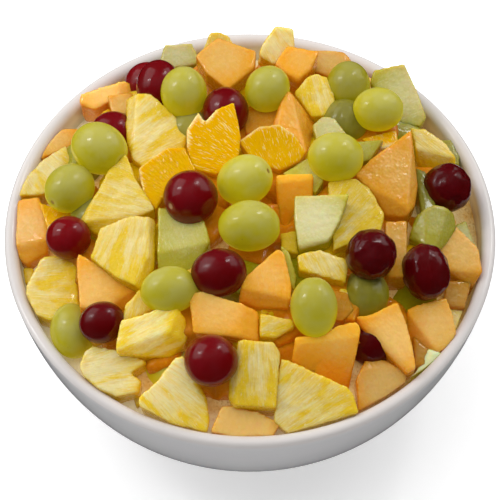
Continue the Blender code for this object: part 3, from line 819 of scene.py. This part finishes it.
def value_of(tree, name, output="Fac"):
    """What the mesh holds under this name at each point."""
    return add(tree, "ShaderNodeAttribute", attribute_name=name).outputs[output]


def new_group(name, result, kind, **inputs):
    """An empty node group, the inputs it is given and the input of its one result."""
    group = bpy.data.node_groups.new(name, "ShaderNodeTree")
    for socket, socket_kind in inputs.items():
        group.interface.new_socket(socket, in_out="INPUT", socket_type=socket_kind)
    group.interface.new_socket(result, in_out="OUTPUT", socket_type=kind)
    return group, group.nodes.new("NodeGroupInput").outputs, group.nodes.new("NodeGroupOutput").inputs[0]


def use(tree, group, *inputs):
    """The result of a node group, with its inputs in their order."""
    return add(tree, "ShaderNodeGroup", enumerate(inputs), node_tree=group).outputs[0]


def streaks_group():
    """Strands that run along X: a share from 0 between them to 1 on them."""
    group, given, share = new_group(
        "streaks", "Share", FLOAT, Vector=VECTOR, Length=FLOAT, Width=FLOAT, From=FLOAT, To=FLOAT
    )
    size = joined(group, given["Length"], given["Width"], given["Width"])
    along = vector_maths(group, "DIVIDE", given["Vector"], size)[0]
    grain = cloudy(group, along, 1, 2.5, 0.55)
    group.links.new(spread(group, grain, given["From"], given["To"]), share)
    return group


def wet_relief_group():
    """The height of a wet cut: its own grain and the uneven film that catches the light."""
    group, given, height = new_group("wet_relief", "Height", FLOAT, Vector=VECTOR, Grain=FLOAT, Share=FLOAT)
    film = cloudy(group, given["Vector"], 0.36, 1)
    group.links.new(total(group, film, times(group, given["Grain"], given["Share"])), height)
    return group


def flesh_group():
    """Cut flesh: paler where less ripe, deeper down its sides, which is painted shade as well as the flesh's
    own colour, and brighter or darker as a whole, which for pieces in the shade is painted shade too.
    """
    group, given, colour = new_group(
        "flesh", "Color", COLOUR, Ripe=COLOUR, Pale=COLOUR, Deep=COLOUR, Paleness=FLOAT, Depth=FLOAT,
        Tone=FLOAT,
    )
    paler = mixed(group, spread(group, given["Paleness"], 0, 1), given["Ripe"], given["Pale"])
    deeper = mixed(group, spread(group, given["Depth"], 0, 1), paler, given["Deep"])
    bright = vector_maths(group, "MULTIPLY", deeper, joined(group, *[given["Tone"]] * 3))[0]
    group.links.new(bright, colour)
    return group


def juice_film_group():
    """Roughness of a cut or skin under a broken film of juice, from its wet to its dry value."""
    group, given, roughness = new_group(
        "juice_film", "Roughness", FLOAT, Vector=VECTOR, Patch=FLOAT, Wet=FLOAT, Dry=FLOAT
    )
    film = cloudy(group, given["Vector"], maths(group, "DIVIDE", 1, given["Patch"]))
    group.links.new(spread(group, film, 0.38, 0.62, given["Wet"], given["Dry"]), roughness)
    return group


STREAKS = streaks_group()
WET_RELIEF = wet_relief_group()
FLESH = flesh_group()
JUICE_FILM = juice_film_group()


def strands(tree, grain, length, width, low, high):
    """Strands of this length and width along the grain, thinner where low and high are higher."""
    return use(tree, STREAKS, grain, length, width, low, high)


def flesh_colour(tree, kind, paleness, depth, tone=None):
    """The colour of a kind of fruit at this paleness and depth, where depth also carries painted shade."""
    return use(tree, FLESH, *FLESH_COLOURS[kind], paleness, depth, tone or value_of(tree, "tone"))


def new_finish(name, **sockets):
    """A material and its tree, with these constants on its shader."""
    made = bpy.data.materials.new(name)
    made.use_nodes = True
    for socket, value in sockets.items():
        made.node_tree.nodes["Principled BSDF"].inputs[socket.replace("_", " ")].default_value = value
    return made, made.node_tree


def finish_with(tree, colour, roughness, height, relief, through=None):
    """Joins colour, roughness and relief, in metres, to the shader, with the colour of its painted glow,
    which stands for light through it.
    """
    shader = tree.nodes["Principled BSDF"].inputs
    tree.links.new(colour, shader["Base Color"])
    # The glow is painted light
    tree.links.new(through or colour, shader["Emission Color"])
    tree.links.new(roughness, shader["Roughness"])
    bump = add(tree, "ShaderNodeBump", (("Height", height), ("Distance", relief), ("Strength", 1)))
    tree.links.new(bump.outputs["Normal"], shader["Normal"])


def glaze():
    """White glaze, a little warmer and lighter over the lip, and inside below the lip a trace of juice that
    is painted lighter than the glaze, as light from the fruit.
    """
    made, tree = new_finish("bowl_glaze", IOR=1.5, Coat_Roughness=0.08, Specular_IOR_Level=0.5)
    place_at = in_metres(tree)
    height = parts_of(tree, place_at)["Z"]
    rim = BOWL_HEIGHT / 1000
    cloud = cloudy(tree, place_at, 35)
    body = mixed(tree, spread(tree, cloud, 0.3, 0.7), GLAZE_BODY, GLAZE_CLOUD)
    warm = mixed(tree, spread(tree, height, rim - 0.004, rim - 0.0015), body, GLAZE_LIP)
    # Juice stain and painted light on the inner wall, stronger further below the lip
    juice_and_painted_light = times(tree, value_of(tree, "inner_side"), spread(tree, height, rim - 0.0005, rim - 0.008))
    stained_and_lit = mixed(tree, times(tree, juice_and_painted_light, spread(tree, cloud, 0.3, 0.7, 0.5, 1)), warm, GLAZE_JUICE_AND_LIGHT)
    finish_with(tree, stained_and_lit, spread(tree, cloud, 0.3, 0.7, 0.1, 0.2), cloud, 0.00015)
    return made


def new_flesh(kind, weight, radius, scale):
    """A wet cut's finish, with how light spreads in it, its painted glow, and its grain."""
    made, tree = new_finish(
        kind, IOR=1.37, Emission_Strength=PAINTED_GLOW, Coat_Weight=0.5, Coat_Roughness=0.06,
        Subsurface_Weight=weight, Subsurface_Radius=radius, Subsurface_Scale=scale,
    )
    return made, tree, value_of(tree, "grain", "Vector")


def ripening(tree, kind, grain):
    """How much paler a point is by its place along the grain."""
    along = parts_of(tree, grain)["X"]
    return spread(tree, along, -FADE_REACH, FADE_REACH, -FADE[kind], FADE[kind])


def melon_flesh(kind):
    """Smooth wet melon, paler towards its rind, with a faint grain and faint painted wet highlights."""
    made, tree, grain = new_flesh(kind, 0.8, (1, 0.5, 0.15), 0.006)
    soft = spread(tree, strands(tree, grain, 9, 2.2, 0.3, 0.7), 0, 1, -0.1, 0.1)
    pores = cloudy(tree, grain, 1.1, 3, 0.6)
    fine = spread(tree, pores, 0.4, 0.6, -0.08, 0.08)
    # Painted sheen: faint pale streaks along the grain
    painted_gleams = times(tree, strands(tree, grain, 4, 0.6, 0.6, 0.68), 0.4)
    ripe = total(tree, ripening(tree, kind, grain), soft)
    paleness = total(tree, value_of(tree, "paleness"), ripe, fine, painted_gleams)
    colour = flesh_colour(tree, kind, paleness, value_of(tree, "side"))
    wet = use(tree, JUICE_FILM, grain, 2.5, 0.07, 0.4)
    finish_with(tree, colour, wet, use(tree, WET_RELIEF, grain, pores, 0.07), 0.0005)
    return made


def pineapple_flesh():
    """Fibrous flesh: fine pale strands, deeper yellow veins, a paler core end and painted highlights in short
    pale flecks along the grain.
    """
    made, tree, grain = new_flesh(PINEAPPLE, 0.75, (1, 0.7, 0.15), 0.005)
    fibres = strands(tree, grain, 7, 0.6, 0.38, 0.62)
    pale_fibres = spread(tree, fibres, 0, 1, -0.17, 0.17)
    bands = spread(tree, strands(tree, grain, 14, 2.6, 0.4, 0.6), 0, 1, -0.2, 0.18)
    ripe_spots = times(tree, strands(tree, grain, 20, 7, 0.52, 0.64), 0.7)
    # Painted highlights: short pale flecks along the grain
    painted_glints = strands(tree, grain, 1.8, 0.4, 0.62, 0.68)
    ripe = total(tree, ripening(tree, PINEAPPLE, grain), pale_fibres)
    varied = total(tree, value_of(tree, "paleness"), ripe, bands)
    paleness = total(tree, maths(tree, "SUBTRACT", varied, ripe_spots), painted_glints)
    veins = times(tree, strands(tree, grain, 9, 1.3, 0.55, 0.65), 0.3)
    colour = flesh_colour(tree, PINEAPPLE, paleness, total(tree, value_of(tree, "side"), veins))
    wet = use(tree, JUICE_FILM, grain, 2, 0.07, 0.45)
    finish_with(tree, colour, wet, use(tree, WET_RELIEF, grain, fibres, 0.16), 0.0004)
    return made


def orange_flesh():
    """Juice sacs lying along the grain, clear and deep inside and pale where they meet, with short painted
    highlights along the grain.
    """
    made, tree, grain = new_flesh(ORANGE, 0.75, (1, 0.5, 0.05), 0.005)
    size = vector_maths(tree, "DIVIDE", grain, (3.4, 1.3, 1.3))[0]
    from_middle, sac = cells(tree, size)
    to_edge = add(tree, "ShaderNodeTexVoronoi", ((0, size), ("Scale", 1)), feature="DISTANCE_TO_EDGE")
    seams = spread(tree, to_edge.outputs["Distance"], 0, 0.13, 1, 0)
    sac_tone = spread(tree, sac, 0.5, 1, -0.1, 0.1)
    soft = spread(tree, strands(tree, grain, 10, 5, 0.35, 0.65), 0, 1, -0.15, 0.05)
    # Painted highlights: short pale dashes along the grain
    painted_glint_dashes = times(tree, strands(tree, grain, 3.2, 0.45, 0.58, 0.64), 0.75)
    paleness = total(tree, value_of(tree, "paleness"), times(tree, seams, 0.12), sac_tone, soft, painted_glint_dashes)
    colour = flesh_colour(tree, ORANGE, paleness, times(tree, value_of(tree, "side"), 0.6))
    wet = use(tree, JUICE_FILM, grain, 2, 0.05, 0.25)
    swell = spread(tree, from_middle, 0, 0.8, 1, 0)
    finish_with(tree, colour, wet, use(tree, WET_RELIEF, grain, swell, 0.35), 0.0004)
    return made


def core_flesh():
    """Fruit and juice in the shade, deep in the heap, with painted light where it meets the wall on the left
    and in front, and painted shade towards the right.
    """
    made, tree = new_finish("heap_core", IOR=1.37, Emission_Strength=CORE_PAINTED_GLOW)
    place_at = in_millimetres(tree)
    level = vector_maths(tree, "MULTIPLY", place_at, (1, 1, 0))[0]
    reach = vector_maths(tree, "LENGTH", level)["Value"]
    to_right = parts_of(tree, place_at)["X"]
    # Painted light: paler where the core meets the wall, on the left and in front
    painted_light_by_wall = spread(tree, reach, HEAP_RADIUS - 12, HEAP_RADIUS - 3)
    painted_light_by_wall = times(tree, painted_light_by_wall, spread(tree, to_right, 70, 10))
    paleness = total(tree, spread(tree, cloudy(tree, place_at, 0.12), 0.35, 0.65), painted_light_by_wall)
    pulp = cloudy(tree, place_at, 0.9)
    depth = spread(tree, pulp, 0.5, 0.7, 0, 0.6)
    # Painted shade: darker towards the right
    colour = flesh_colour(tree, "heap_core", paleness, depth, spread(tree, to_right, 100, 60, 0.85, 1))
    colour = mixed(tree, times(tree, painted_light_by_wall, 0.7), colour, PAINTED_WALL_LIGHT_COLOUR)
    finish_with(tree, colour, use(tree, JUICE_FILM, place_at, 5, 0.1, 0.3), pulp, 0.0006)
    return made


def grape_skin(kind):
    """Thin skin with a breath of bloom and a painted sheen on its upper side, painted light through it on its
    lower side, specks, a scar where the stalk was and a pin mark at the tip.
    """
    green = kind == GREEN
    made, tree = new_finish(
        kind, Subsurface_Weight=0.55 if green else 0.2, Subsurface_Scale=0.008, IOR=1.42,
        Subsurface_Radius=(1, 0.9, 0.25) if green else (1, 0.15, 0.12), Specular_IOR_Level=0.5,
        Emission_Strength=GRAPE_PAINTED_GLOW[kind],
    )
    axes = parts_of(tree, value_of(tree, "skin", "Vector"))
    squares = [times(tree, axes[axis], axes[axis]) for axis in "XY"]
    around = maths(tree, "SQRT", total(tree, *squares))
    stalk_end = spread(tree, axes["Z"], 0, 0.1)
    scar = times(tree, stalk_end, spread(tree, around, 0.13, 0.08))
    ring = times(tree, spread(tree, around, 0.32, 0.24), spread(tree, around, 0.1, 0.16), stalk_end)
    pin = times(tree, spread(tree, axes["Z"], 0, -0.1), spread(tree, around, 0.05, 0.03))
    own = in_millimetres(tree)
    cloud = cloudy(tree, own, 0.1)
    from_middle, speck = cells(tree, own, 0.32)
    picked = spread(tree, speck, 0.86, 0.9)
    specks = times(tree, spread(tree, from_middle, 0.11, 0.07), picked, 0.6 if green else 0)
    upward = value_of(tree, "upward")
    # Painted sheen: paler towards the upper side, with real bloom in soft patches
    bloom_and_painted_sheen = total(tree, spread(tree, upward, 0.1, 1), spread(tree, cloud, 0.4, 0.6, -0.45, 0.25))
    # Painted light through the grape: deeper colour and a glow towards its lower side
    painted_light_through = spread(tree, upward, 0.8, -0.4)
    colour = flesh_colour(tree, kind, total(tree, bloom_and_painted_sheen, times(tree, ring, 0.8)), painted_light_through)
    through = mixed(tree, painted_light_through, (0, 0, 0, 1), colour)
    marks = maths(tree, "MAXIMUM", maths(tree, "MAXIMUM", scar, pin), specks)
    marked = mixed(tree, marks, colour, MARK_COLOURS[kind])
    finish_with(tree, marked, use(tree, JUICE_FILM, own, 7, 0.14, 0.26), cloud, 0.0002, through)
    return made


# Studio

# Soft panels: name, size, place, brightness, and whether it is aimed at the bowl and glints on it
PANELS = (
    ("ceiling", (4.4, 3), (-0.4, 1.4, 1.3), 0.5, False),
    ("window_1", (2.2, 1.5), (-1.4, 0.7, 1.2), 1.2, True),
    ("window_2", (1.5, 1.2), (1.3, 1.1, 1.1), 1.2, True),
    ("softbox", (1, 0.7), (-0.1, 0, 1.1), 2, False),
    ("spark_1", (0.12, 0.4), (0.62, 0.72, 1.15), 12, True),
    ("spark_2", (0.12, 0.4), (-0.9, 0.25, 1.05), 12, True),
)
FILL = 0.25
FLOOR_SIZE = 4
FLOOR_GLOW = 0.32
LENS = 141.7
LOOK_DOWN = math.radians(57.77)
CAMERA_DISTANCE = 0.9
AIM_BELOW_RIM = 0.0206


def make_floor():
    """White paper with a faint grit and glow, which nothing glossy mirrors."""
    surface = bmesh.new()
    bmesh.ops.create_grid(surface, x_segments=1, y_segments=1, size=FLOOR_SIZE)
    mesh = mesh_of(surface, "studio_floor")
    made, tree = new_finish(
        "floor_paper", Roughness=0.9, Emission_Color=(1, 1, 1, 1), Emission_Strength=FLOOR_GLOW
    )
    grit = cloudy(tree, in_metres(tree), 60, detail=2)
    tree.links.new(mixed(tree, grit, *PAPER_COLOURS), tree.nodes["Principled BSDF"].inputs["Base Color"])
    mesh.materials.append(made)
    floor = new_object("studio_floor", mesh)
    floor.visible_glossy = False


def make_light():
    """The panels around the bowl, and an even low fill."""
    for name, size, place_at, radiance, aimed in PANELS:
        panel = bpy.data.lights.new(name, "AREA")
        panel.shape = "RECTANGLE"
        panel.size, panel.size_y = size
        panel.energy = radiance * math.pi * size[0] * size[1]
        lamp = new_object(name, panel)
        lamp.location = place_at
        lamp.visible_glossy = aimed
        if aimed:
            lamp.rotation_euler = Vector(place_at).to_track_quat("Z", "Y").to_euler()
    world = bpy.data.worlds.new("studio")
    world.use_nodes = True
    background = world.node_tree.nodes["Background"].inputs
    background["Color"].default_value = (1, 1, 1, 1)
    background["Strength"].default_value = FILL
    world.cycles_visibility.glossy = False
    bpy.context.scene.world = world


def make_camera():
    """Looks down along +Y at the heap."""
    lens = bpy.data.cameras.new("camera")
    lens.lens = LENS
    lens.clip_end = 20
    camera = new_object("camera", lens)
    aim = Vector((0, 0, BOWL_HEIGHT / 1000 - AIM_BELOW_RIM))
    back = Vector((0, -math.cos(LOOK_DOWN), math.sin(LOOK_DOWN)))
    camera.location = aim + back * CAMERA_DISTANCE
    camera.rotation_euler = (-back).to_track_quat("-Z", "Y").to_euler()
    bpy.context.scene.camera = camera


make_bowl()
make_core()
make_cut_fruit()
make_grapes()
make_floor()
make_light()
make_camera()
bpy.context.scene.view_settings.view_transform = "Standard"
